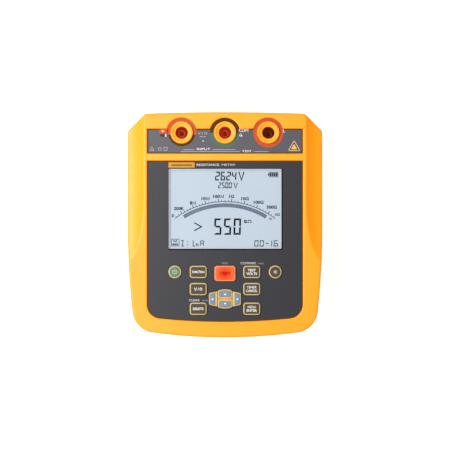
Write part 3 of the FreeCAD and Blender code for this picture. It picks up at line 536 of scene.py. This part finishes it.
def digits(text, x, y, height, width, pitch, thick, lean=0.06, gap=0.07):
    """Seven-segment figures whose lower left corner is at (x, y). lean is the sideways step for
    each millimetre of height."""
    outlines = segments(width, height, thick, gap)
    shapes = []
    for place, figure in enumerate(text):
        left = x + place * pitch
        for name in DIGIT_SEGMENTS[figure]:
            shapes.append(polygon([(left + u + lean * v, y + v) for u, v in outlines[name]]))
    return shapes


# ---------- solids ----------

def mesh_object(name, points, faces, look, place=Matrix.Identity(4)):
    """A mesh from points in millimetres, moved by place."""
    mesh = bpy.data.meshes.new(name)
    mesh.from_pydata([tuple((place @ Vector(p)) * MM) for p in points], [], faces)
    mesh.materials.append(look.material)
    mesh.validate()
    item = bpy.data.objects.new(name, mesh)
    bpy.context.scene.collection.objects.link(item)
    return item


def signed_area(points, face):
    """Twice the area of a face, positive where its points run anticlockwise."""
    total = 0
    for i, j in zip(face, face[1:] + face[:1]):
        total += points[i][0] * points[j][1] - points[j][0] * points[i][1]
    return total


def slab(name, body, look, shapes, z, thick=INK, place=Matrix.Identity(4)):
    """Closed flat pieces over the shapes, standing a little into and out of the surface at z."""
    points = []
    faces = []
    for flat, flat_faces in shapes:
        start = len(points)
        count = len(flat)
        points += [(px, py, z - SINK) for px, py in flat]
        points += [(px, py, z + thick) for px, py in flat]
        edges = {}                   # directed edges, in order
        for face in flat_faces:
            if signed_area(flat, face) < 0:
                face = tuple(reversed(face))
            faces.append(tuple(start + i for i in reversed(face)))
            faces.append(tuple(start + count + i for i in face))
            for i, j in zip(face, face[1:] + face[:1]):
                edges[(i, j)] = True
        for i, j in edges:
            if (j, i) not in edges:
                faces.append((start + i, start + j, start + count + j, start + count + i))
    item = mesh_object(name, points, faces, look, place)
    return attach(item, body)


SIDE_SHARE = 0.35                 # height of a cap's upright side, as a share of its rise
SHOULDER_SHARE = 0.45             # the same of the rounded shoulder above it
CROWN = ((0.45, 0.93), (0.75, 1.0))  # above that: (share of the reach inwards, share of the rise)


def cushion(name, body, look, outline, z, rise, shoulder):
    """A closed cap over an outline: upright sides, a rounded shoulder and a gently crowned top."""
    count = len(outline)
    cx = sum(p[0] for p in outline) / count
    cy = sum(p[1] for p in outline) / count
    reach = min(math.hypot(p[0] - cx, p[1] - cy) for p in outline)
    levels = [(0.0, -SINK)]
    for i in range(5):
        angle = math.radians(90 * i / 4)
        levels.append((shoulder * (1 - math.cos(angle)),
                       rise * (SIDE_SHARE + SHOULDER_SHARE * math.sin(angle))))
    levels += [(reach * inwards, rise * up) for inwards, up in CROWN]
    points = []
    for inset, height in levels:
        keep = 1 - inset / reach
        points += [(cx + (px - cx) * keep, cy + (py - cy) * keep, z + height)
                   for px, py in outline]
    faces = [tuple(reversed(range(count)))]
    for level in range(len(levels) - 1):
        base = level * count
        for i in range(count):
            j = (i + 1) % count
            faces.append((base + i, base + j, base + count + j, base + count + i))
    faces.append(tuple(range(len(points) - count, len(points))))
    item = mesh_object(name, points, faces, look)
    for face in item.data.polygons[1:]:
        face.use_smooth = True
    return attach(item, body)


# ---------- display ----------

# The scale is drawn about a point below the display. Radii in millimetres, angles in degrees
# from the upright.
SCALE_DROP = 69.8                 # of that point below the middle of the display
BAR_IN, BAR_OUT = 71.4, 75.0
BAR_ANGLE = 31.6
BAR_COUNT = 76
BAR_FILL = 0.86                   # share of its pitch that a short segment of the bar fills
LINE_IN, LINE_OUT = 76.35, 76.9
LINE_ANGLE = 37.6
TICK_FOOT = 76.6
TICK_PITCH = 2.25
TICKS_EACH_SIDE = 16
MAJOR_TICK = (2.7, 0.62)          # length and width
MINOR_TICK = (1.5, 0.48)
SCALE_FIGURES = [                 # text, x, y, width
    ("0", -48.6, 7.9, 2.1), ("200K", -42.8, 14.5, 9.6), ("1M", -29.8, 19.7, 5.2),
    ("10M", -18.1, 23.8, 7.6), ("100M", -6.1, 25.8, 10.0), ("1G", 6.1, 25.8, 4.8),
    ("10G", 18.6, 23.7, 7.0), ("100G", 31.3, 20.3, 9.2), ("500G", 43.5, 15.8, 9.6)]
SCALE_FIGURE_H = 3.1

READING = dict(height=15.2, width=6.8, pitch=9.05, thick=1.7, lean=0.03, gap=0.06)
VOLTS = dict(height=8.2, width=4.3, pitch=5.15, thick=1.2)
SET_VOLTS = dict(height=5.5, width=2.7, pitch=3.25, thick=0.82)
COUNTER = dict(height=5.8, width=3.7, pitch=5.0, thick=0.75)
STATUS_LETTER = dict(height=5.2, width=3.5, pitch=5.0, thick=0.7)


def arc_scale():
    """Analogue scale: a curved bar of short segments, and a thin line with ticks above it."""
    x0 = VIEW_MID.x
    y0 = VIEW_MID.y - SCALE_DROP
    bars = []
    for i in range(BAR_COUNT):
        start = 90 - BAR_ANGLE + 2 * BAR_ANGLE * i / BAR_COUNT
        stop = start + 2 * BAR_ANGLE / BAR_COUNT * BAR_FILL
        bars.append(band(arc_points(x0, y0, BAR_OUT, start, stop, 1),
                         arc_points(x0, y0, BAR_IN, start, stop, 1)))
    lines = [ring(x0, y0, LINE_IN, LINE_OUT, 90 - LINE_ANGLE, 90 + LINE_ANGLE)]
    for i in range(-TICKS_EACH_SIDE, TICKS_EACH_SIDE + 1):
        angle = math.radians(90 - TICK_PITCH * i)
        length, width = MAJOR_TICK if i % 4 == 2 else MINOR_TICK
        ends = [(x0 + r * math.cos(angle), y0 + r * math.sin(angle))
                for r in (TICK_FOOT, TICK_FOOT + length)]
        lines.append(stroke(ends, width))
    return bars, lines


def em(x, y, width, height, thick):
    """Capital M about (x, y)."""
    left, right = x - width / 2, x + width / 2
    foot, top = y - height / 2, y + height / 2
    return stroke([(left, foot), (left, top), (x, y - height / 3), (right, top), (right, foot)],
                  thick)


def infinity(x, y, half_width, half_height, thick):
    """The sign at the end of the scale: a lemniscate."""
    loop = []
    for i in range(40):
        t = 2 * math.pi * i / 40
        shrink = 1 + math.sin(t) ** 2
        loop.append((x + half_width * math.cos(t) / shrink,
                     y + half_height * math.sin(t) * math.cos(t) / shrink))
    return stroke(loop, thick, True)


def scale_figures():
    shapes = []
    for text, x, y, width in SCALE_FIGURES:
        if text.endswith("M"):
            shapes.append(em(x + width / 2 - 1.5, y, 2.5, SCALE_FIGURE_H, 0.6))
            text, x, width = text[:-1], x - 1.8, width - 3.6
        shapes.append(lettering(text, x, y, width, SCALE_FIGURE_H, 0.035))
    shapes.append(infinity(48.8, 8.9, 2.1, 2.7, 0.5))
    shapes.append(stroke([(41.0, 5.7), (42.6, 3.7)], 0.6))
    shapes.append(stroke([(42.2, 6.2), (43.8, 4.2)], 0.6))
    return shapes


def battery_sign():
    """A full battery in the upper right corner."""
    x0, x1, y0, y1 = 41.2, 49.2, 44.0, 48.2
    mid_y = (y0 + y1) / 2
    shapes = [polygon(rounded(about(x0 - 0.5, mid_y, 1.4, 1.9), 0.3, 2)),
              stroke(rectangle(x0, x1, y0, y1), 0.45, True)]
    for i in range(4):
        shapes.append(polygon(about(x0 + 1.35 + 1.85 * i, mid_y, 1.45, 3.2)))
    return shapes


def omega(x, y, width, height, thick):
    """Ohm sign about (x, y)."""
    r = width * 0.42
    top = y + height / 2 - thick / 2
    bow = arc_points(x, top - r, r, -52, 232, 20)
    foot_y = y - height / 2 + thick / 2
    return [stroke(bow, thick),
            stroke([bow[0], (bow[0][0], foot_y), (x + width / 2, foot_y)], thick),
            stroke([bow[-1], (bow[-1][0], foot_y), (x - width / 2, foot_y)], thick)]


def vee(x, y, width, height, thick):
    """Capital V about (x, y)."""
    top = y + height / 2
    return stroke([(x - width / 2, top), (x, y - height / 2), (x + width / 2, top)], thick)


def status_line():
    """The small row at the foot of the display."""
    foot, top = -20.4, -15.2
    counter_y = -20.8
    shapes = digits("00", 27.2, counter_y, **COUNTER)
    shapes.append(polygon(about(39.2, -17.9, 2.6, 0.75)))
    shapes += digits("1", 39.9, counter_y, **COUNTER)
    shapes += digits("6", 45.2, counter_y, **dict(COUNTER, width=3.9))
    for y in (foot, top):
        shapes.append(polygon(about(-39.4, y, 2.8, 0.6)))
    shapes.append(polygon(about(-39.4, (foot + top) / 2, 0.7, top - foot)))
    for y in (-16.4, -19.2):
        shapes.append(polygon(about(-34.7, y, 0.9, 0.9)))
    shapes.append(stroke([(-29.6, top + 0.2), (-29.6, foot), (-27.8, foot)], 0.7))
    shapes.append(lettering("n", -25.9, -19.2, 2.2, 2.6, 0.02))
    shapes += digits("A", -23.3, -20.5, **STATUS_LETTER)
    shapes.append(stroke(about(-46.2, -17.1, 7.0, 6.3), 0.5, True))
    shapes.append(em(-46.4, -15.8, 2.6, 2.1, 0.6))
    shapes += [polygon(about(-48.1 + 1.8 * i, -18.8, 1.35, 1.7)) for i in range(3)]
    return shapes


def display():
    """Figures on the display glass, and the bright rim of the window over it."""
    strong = digits("2624", -9.4, 40.6, **VOLTS)
    strong.append(vee(15.3, 44.7, 4.6, 7.8, 1.15))
    strong += digits("550", -10.3, -9.9, **READING)
    strong.append(stroke([(-28.6, 1.3), (-21.9, -2.4), (-28.6, -6.1)], 1.05))
    strong += battery_sign()
    bars, scale = arc_scale()
    slab("lcd_figures", "case", INKS["segment"], strong + scale, GLASS_Z)
    fine = digits("2500", -6.4, 33.4, **SET_VOLTS)
    fine.append(vee(9.9, 36.1, 3.4, 5.0, 0.8))
    fine += scale_figures()
    fine += status_line()
    fine.append(lettering("G", 18.9, 2.5, 2.9, 3.2, 0.06))
    fine += omega(22.8, 2.5, 3.3, 3.2, 0.75)
    slab("lcd_small_figures", "case", INKS["segment"], fine, GLASS_Z)
    slab("lcd_arc_bar", "case", INKS["segment_bar"], bars, GLASS_Z)
    x0, x1, y0, y1 = VIEW_LOW.x, VIEW_HIGH.x, VIEW_LOW.y, VIEW_HIGH.y
    rim = [polygon(rectangle(x0 - 1.0, x0 + 0.9, y0, y1)),
           polygon(rectangle(x0 + 0.95, x1, y1 - 0.8, y1 + 1.0))]
    slab("window_rim", "case", INKS["lcd_rim"], rim, high("display_window").z)


# ---------- printing on the panels ----------

def panel_print():
    """The name bar and title over the window, the words by the keys, and a painted shadow along
    the window's right and lower edges.
    """
    x0, x1, y0, y1 = VIEW_LOW.x, VIEW_HIGH.x, VIEW_LOW.y, VIEW_HIGH.y
    name_bar = rectangle(-52.5, -28.3, y1 + 1.2, y1 + 6.1)
    slab("name_bar", "case", INKS["orange"], [polygon(name_bar)], PANEL_Z)
    stripe = about(-40.2, y1 + 3.5, 19.0, 1.5)
    slab("name_bar_stripe", "case", INKS["brown"], [polygon(stripe)], PANEL_Z + INK)
    title = [lettering("RESISTANCE", -15.9, y1 + 3.8, 21.0, 2.1, 0.01),
             lettering("METER", 3.2, y1 + 3.8, 12.6, 1.8, 0.0)]
    slab("panel_title", "case", INKS["pale"], title, PANEL_Z)
    large = [lettering("COMPARE", 21.6, -36.3, 14.4, 2.1, 0.01),
             lettering("CLEAR", -28.4, -70.7, 10.0, 2.0, 0.01)]
    slab("panel_words", "case", INKS["pale"], large, PANEL_Z)
    small = [lettering("HOLD", -0.2, -36.2, 5.4, 1.7, 0.01),
             lettering("HOLD", 33.5, -36.5, 5.0, 1.5, 0.01),
             lettering("HOLD", -18.4, -70.9, 4.6, 1.5, 0.01)]
    slab("panel_small_words", "case", INKS["grey"], small, PANEL_Z)
    # Painted shadow: a dark line along the right and lower edges of the window, gap millimetres
    # wide.
    gap = 1.1
    shade = stroke([(x0, y0 - gap / 2), (x1 + gap / 2, y0 - gap / 2), (x1 + gap / 2, y1)], gap)
    slab("window_edge_shadow", "case", INKS["gap"], [shade], PANEL_Z)


def deck_place():
    """Places a drawing whose origin is on the break line and whose y runs along the deck."""
    return Matrix.Translation((0, BREAK_Y, FACE_Z)) @ Matrix.Rotation(-DECK_TILT, 4, "X")


def upper_outline(node, place):
    """The outer edge of a flat panel's upper face, in the coordinates of place, in millimetres."""
    mesh = NODES[node].data
    back = place.inverted()
    points = [back @ (v.co / MM) for v in mesh.vertices]
    top = max(p.z for p in points)
    keys = [(round(p.x, 3), round(p.y, 3)) for p in points]
    edges = {}
    for face in mesh.polygons:
        corners = list(face.vertices)
        if min(points[i].z for i in corners) < top - 0.01:
            continue
        for i, j in zip(corners, corners[1:] + corners[:1]):
            edges[(keys[i], keys[j])] = True
    following = {i: j for i, j in edges if (j, i) not in edges}
    loops = []
    while following:
        start, here = following.popitem()
        loop = [start]
        while here != start:
            loop.append(here)
            here = following.pop(here)
        loops.append(loop)
    return max(loops, key=lambda loop: abs(signed_area(loop, tuple(range(len(loop))))))


def offset(outline, distance):
    """A closed outline moved sideways: outwards where distance is positive."""
    sharpest = 0.5                   # limit of a mitre's reach
    turn = 1 if signed_area(outline, tuple(range(len(outline)))) > 0 else -1
    moved = []
    count = len(outline)
    for i in range(count):
        here = Vector(outline[i])
        before = (here - Vector(outline[i - 1])).normalized()
        after = (Vector(outline[(i + 1) % count]) - here).normalized()
        out = Vector((before.y + after.y, -before.x - after.x)).normalized() * turn
        spread = out.dot(Vector((before.y, -before.x)) * turn)
        moved.append(tuple(here + out * (distance / max(spread, sharpest))))
    return moved


def panel_borders():
    """Painted shade: a dark line round each panel, over its edge and the groove beside it, where
    the groove's shadow falls.
    """
    for node, place, z in (("main_overlay", Matrix.Identity(4), PANEL_Z),
                           ("terminal_overlay", deck_place(), -FACE_RISE)):
        edge = upper_outline(node, place)
        line = band(offset(edge, GROOVE_SHADE_OUT), offset(edge, -GROOVE_SHADE_IN), True)
        slab(node + "_border", "case", INKS["border"], [line], z, INK, place)


def along_deck(y):
    """Distance from the break line along the deck of a place seen at y from the front."""
    return (y - BREAK_Y) / math.cos(DECK_TILT)


def deck_halos(place, z):
    """Coloured rings and small plates beside the jacks."""
    left, centre, right = [middle("jack_collar_" + side).x for side in SIDES]
    y = along_deck(JACK_Y)
    red = [ring(left, y, HALO_IN, HALO_OUT, -8, 188), ring(right, y, HALO_IN, HALO_OUT),
           polygon(rounded(about(left - 16.6, y + 1.5, 8.6, 4.2), 0.8))]
    black = [ring(left, y, HALO_IN, HALO_DARK_OUT, 190, 350),
             ring(centre, y, HALO_IN, HALO_OUT, 0, 180),
             polygon(rounded(about(left - 16.2, y - 2.5, 7.0, 2.6), 0.6))]
    green = [ring(centre, y, HALO_IN, HALO_OUT, 180, 360)]
    for name, shapes in (("red", red), ("black", black), ("green", green)):
        slab("halo_" + name, "case", INKS[name], shapes, z + 0.01, place=place)
    return [lettering("E", left - 14.6, y - 2.5, 1.7, 2.2, 0.01),
            lettering("+", left - 17.6, y + 1.5, 2.2, 2.2, 0.01)]


def deck_print():
    """Printing on the terminal panel. Its places are those seen from the front."""
    place = deck_place()
    z = -FACE_RISE
    plate_letters = deck_halos(place, z)
    letters = [lettering("COM", 17.2, along_deck(87.5), 8.8, 2.9, 0.01),
               lettering("G", 14.7, along_deck(83.0), 2.4, 2.7, 0.01),
               lettering("L", 54.9, along_deck(86.9), 1.9, 2.7, 0.01)]
    letters += plate_letters
    letters += [lettering("INPUT", -20.0, along_deck(70.0), 12.4, 1.9, 0.0),
                lettering("TEST", 20.2, along_deck(68.0), 8.8, 1.9, 0.0)]
    slab("deck_letters", "case", INKS["white"], letters, z + INK, place=place)
    faint = []
    for x0, x1, y in ((-38.6, -28.6, 69.4), (-11.9, 9.8, 69.4), (-41.0, 14.0, 67.6),
                      (26.8, 40.5, 67.6)):
        faint.append(stroke([(x0, along_deck(y)), (x1, along_deck(y))], 0.5))
    faint.append(lettering("V", -23.9, along_deck(84.6), 2.6, 2.2, 0.01))
    faint.append(stroke([(-21.6, along_deck(83.4)), (-20.4, along_deck(85.8))], 0.4))
    faint += omega(-17.8, along_deck(84.6), 2.6, 2.2, 0.42)
    faint.append(stroke([(-23.4, along_deck(81.5)), (-17.6, along_deck(81.5))], 0.5))
    faint.append(polygon(circle(-20.4, along_deck(77.5), 0.85, 20)))
    faint.append(stroke(about(-55.3, along_deck(70.2), 3.0, 2.8), 0.4, True))
    faint.append(ring(-60.6, along_deck(70.2), 1.2, 1.6))
    faint.append(stroke([(-69.8, along_deck(68.8)), (-66.2, along_deck(68.8)),
                         (-68.0, along_deck(72.0))], 0.4, True))
    slab("deck_faint_marks", "case", INKS["faint"], faint, z, place=place)
    sign = rounded([(58.9, along_deck(68.6)), (69.7, along_deck(68.6)),
                    (64.3, along_deck(77.9))], 0.7)
    core = rounded([(61.4, along_deck(69.8)), (67.2, along_deck(69.8)),
                    (64.3, along_deck(74.9))], 0.5)
    slab("deck_triangle", "case", INKS["amber"], [stroke(sign, 0.6, True)], z, place=place)
    slab("deck_triangle_core", "case", INKS["core"], [polygon(core)], z, place=place)


# ---------- keys ----------

LEGENDS = {                       # lines of words and their widths
    "key_mode": [("FUNCTION", 11.2)],
    "key_delete": [("DELETE", 9.9)],
    "key_volts": [("TEST", 7.3), ("VOLTS", 9.7)],
    "key_timer": [("TIMER", 9.1), ("CANCEL", 10.3)],
    "key_memory": [("MENU", 7.6), ("ENTER", 9.6)],
}


def pad_outline(key, r):
    """Outline of the printed pad of a rectangular key: its box less the flange and the rim."""
    inset = Vector((FLANGE_REACH + RIM, FLANGE_REACH + RIM, 0))
    a = low(key) + inset
    b = high(key) - inset
    return rounded(rectangle(a.x, b.x, a.y, b.y), r)


def key_pad(key, outline, look, marks, mark_look="white"):
    z = high(key).z - PAD_SINK
    cushion(key + "_face", key, INKS[look], outline, z, PAD_RISE, 0.25)
    slab(key + "_legend", key, INKS[mark_look], marks, z + PAD_RISE)


def legend(key, lines, height=2.3, pitch=3.2):
    """Lines of words about the middle of a key."""
    spot = middle(key)
    shapes = []
    for i, (text, width) in enumerate(lines):
        y = spot.y + pitch * ((len(lines) - 1) / 2 - i)
        shapes.append(lettering(text, spot.x, y, width, height, 0.015))
    return shapes


def rectangular_keys():
    for key, lines in LEGENDS.items():
        key_pad(key, pad_outline(key, 1.3), "key_face", legend(key, lines))
    x, y, _ = middle("key_units")
    marks = [vee(x - 2.6, y, 2.2, 2.7, 0.5), stroke([(x - 0.4, y - 1.3), (x + 0.4, y + 1.3)], 0.4)]
    marks += omega(x + 2.6, y, 2.3, 2.6, 0.48)
    key_pad("key_units", pad_outline("key_units", 1.3), "key_face", marks)


def round_keys():
    x, y, _ = middle("key_power")
    marks = [ring(x, y, 1.5, 2.0, 125, 415), stroke([(x, y + 0.2), (x, y + 2.3)], 0.5)]
    key_pad("key_power", circle(x, y, KEY_R - RIM), "key_green", marks, "pale")
    x, y, _ = middle("key_backlight")
    marks = [polygon(circle(x, y, 0.9, 24))]
    for i in range(8):
        angle = math.pi * i / 4
        ends = [(x + r * math.cos(angle), y + r * math.sin(angle)) for r in (1.3, 2.1)]
        marks.append(stroke(ends, 0.35))
    key_pad("key_backlight", circle(x, y, KEY_R - RIM), "key_face", marks, "pale")


def test_key():
    marks = legend("key_test", [("TEST", 10.4)], 3.0)
    key_pad("key_test", pad_outline("key_test", 1.5), "test_face", marks, "test_mark")


def arrow_pad(key, outer, inner, tip):
    """An arrow key's grey field, the blue one on it, and the arrowhead."""
    z = high(key).z
    cushion(key + "_field", key, INKS["arrow_band"], rounded(outer, 0.8), z - 0.02, 0.1, 0.1)
    cushion(key + "_face", key, INKS["arrow_face"], rounded(inner, 0.6), z + 0.05, 0.15, 0.15)
    slab(key + "_legend", key, INKS["white"], [polygon(tip)], z + 0.19)


def arched(half, near, far, sign, sag):
    """A field about x = 0 from near to far, whose far edge bows out; anticlockwise."""
    points = [(-half, near), (half, near)]
    for i in range(7):
        u = 1 - i / 3
        points.append((half * u, far - sign * sag * u * u))
    return points if sign > 0 else list(reversed(points))


def arrow_keys():
    pad_y = middle("key_left").y
    for key, sign in (("key_up", 1), ("key_down", -1)):
        outer = arched(5.6, pad_y + sign * 1.5, pad_y + sign * 8.1, sign, 0.7)
        inner = arched(4.5, pad_y + sign * 2.5, pad_y + sign * 6.6, sign, 0.3)
        cy = pad_y + sign * 4.5
        tip = [(-1.1, cy - sign * 0.8), (1.1, cy - sign * 0.8), (0, cy + sign * 0.9)]
        arrow_pad(key, outer, inner, tip)
    for key, sign in (("key_left", -1), ("key_right", 1)):
        flanges = (high(key).x - FLANGE_REACH, low(key).x + WING_FLANGE_REACH)
        if sign > 0:
            flanges = (low(key).x + FLANGE_REACH, high(key).x - WING_FLANGE_REACH)
        start = flanges[0] + sign * WING_RIM
        stop = flanges[1] - sign * WING_RIM
        blue = start + sign * 0.7
        end = blue + sign * 3.9
        outer = [(start, pad_y - 6.1), (stop, pad_y - 4.5), (stop, pad_y + 4.5),
                 (start, pad_y + 6.1)]
        inner = [(blue, pad_y - 4.7), (end, pad_y - 4.1), (end, pad_y + 3.6), (blue, pad_y + 4.2)]
        cx = (blue + end) / 2
        cy = pad_y - 0.2
        tip = [(cx - sign * 0.7, cy - 1.1), (cx + sign * 1.0, cy), (cx - sign * 0.7, cy + 1.1)]
        if sign < 0:                 # anticlockwise again
            for shape in (outer, inner, tip):
                shape.reverse()
        arrow_pad(key, outer, inner, tip)


# ---------- surroundings ----------

def floor():
    """A pale floor, clear from below."""
    mesh = bpy.data.meshes.new("floor")
    corners = rectangle(-FLOOR_HALF, FLOOR_HALF, -FLOOR_HALF, FLOOR_HALF)
    mesh.from_pydata([(x, y, 0) for x, y in corners], [], [(0, 1, 2, 3)])
    item = bpy.data.objects.new("floor", mesh)
    bpy.context.scene.collection.objects.link(item)
    look = Look("floor_pale", (0.5, 0.5, 0.5), 0.9).mottle(400, 0.01).set(
        Specular_IOR_Level=0.1, Emission_Color=(1, 1, 1, 1), Emission_Strength=0.85)
    nodes = look.tree.nodes
    clear = nodes.new("ShaderNodeBsdfTransparent")
    geometry = nodes.new("ShaderNodeNewGeometry")
    blend = nodes.new("ShaderNodeMixShader")
    look.link(geometry.outputs["Backfacing"], blend.inputs[0])
    look.link(look.shader.outputs[0], blend.inputs[1])
    look.link(clear.outputs[0], blend.inputs[2])
    look.link(blend.outputs[0], nodes["Material Output"].inputs["Surface"])
    mesh.materials.append(look.material)


def area_light(name, place, target, width, length, power):
    """A rectangular lamp at place that points at target, in metres and watts."""
    data = bpy.data.lights.new(name, "AREA")
    data.shape = "RECTANGLE"
    data.size = width
    data.size_y = length
    data.energy = power
    item = bpy.data.objects.new(name, data)
    item.location = place
    item.visible_camera = False
    item.rotation_euler = (Vector(target) - Vector(place)).to_track_quat("-Z", "Y").to_euler()
    bpy.context.scene.collection.objects.link(item)


def lights():
    """One soft lamp on the upper left, in a white room that is brighter on the left."""
    area_light("key_light", place=(-0.34, 0.12, 0.76), target=(0, 0.10, 0.07),
               width=0.80, length=0.30, power=9.3)
    world = bpy.data.worlds.new("studio")
    world.use_nodes = True
    tree = world.node_tree
    background = tree.nodes["Background"]
    background.inputs["Color"].default_value = (1, 1, 1, 1)
    direction = tree.nodes.new("ShaderNodeTexCoord").outputs["Generated"]
    parts = tree.nodes.new("ShaderNodeSeparateXYZ")
    tree.links.new(direction, parts.inputs["Vector"])
    fade = tree.nodes.new("ShaderNodeMapRange")
    fade.inputs["From Min"].default_value = -1.0
    fade.inputs["To Min"].default_value = SKY_LEFT
    fade.inputs["To Max"].default_value = SKY_RIGHT
    tree.links.new(parts.outputs["X"], fade.inputs["Value"])
    tree.links.new(fade.outputs["Result"], background.inputs["Strength"])
    bpy.context.scene.world = world


def camera():
    """Straight above the face, far off, so that the sides don't show."""
    data = bpy.data.cameras.new("camera")
    data.sensor_width = SENSOR_WIDTH
    data.lens = SENSOR_WIDTH * CAMERA_DISTANCE / VIEW_WIDTH
    data.clip_end = 20.0
    item = bpy.data.objects.new("camera", data)
    item.location = (0, VIEW_Y, FACE_Z * MM + CAMERA_DISTANCE)
    bpy.context.scene.collection.objects.link(item)
    bpy.context.scene.camera = item
    bpy.context.scene.view_settings.view_transform = "Standard"


camera()
lights()
floor()
dress_nodes()
display()
panel_print()
panel_borders()
deck_print()
rectangular_keys()
round_keys()
test_key()
arrow_keys()

bpy.context.view_layer.update()
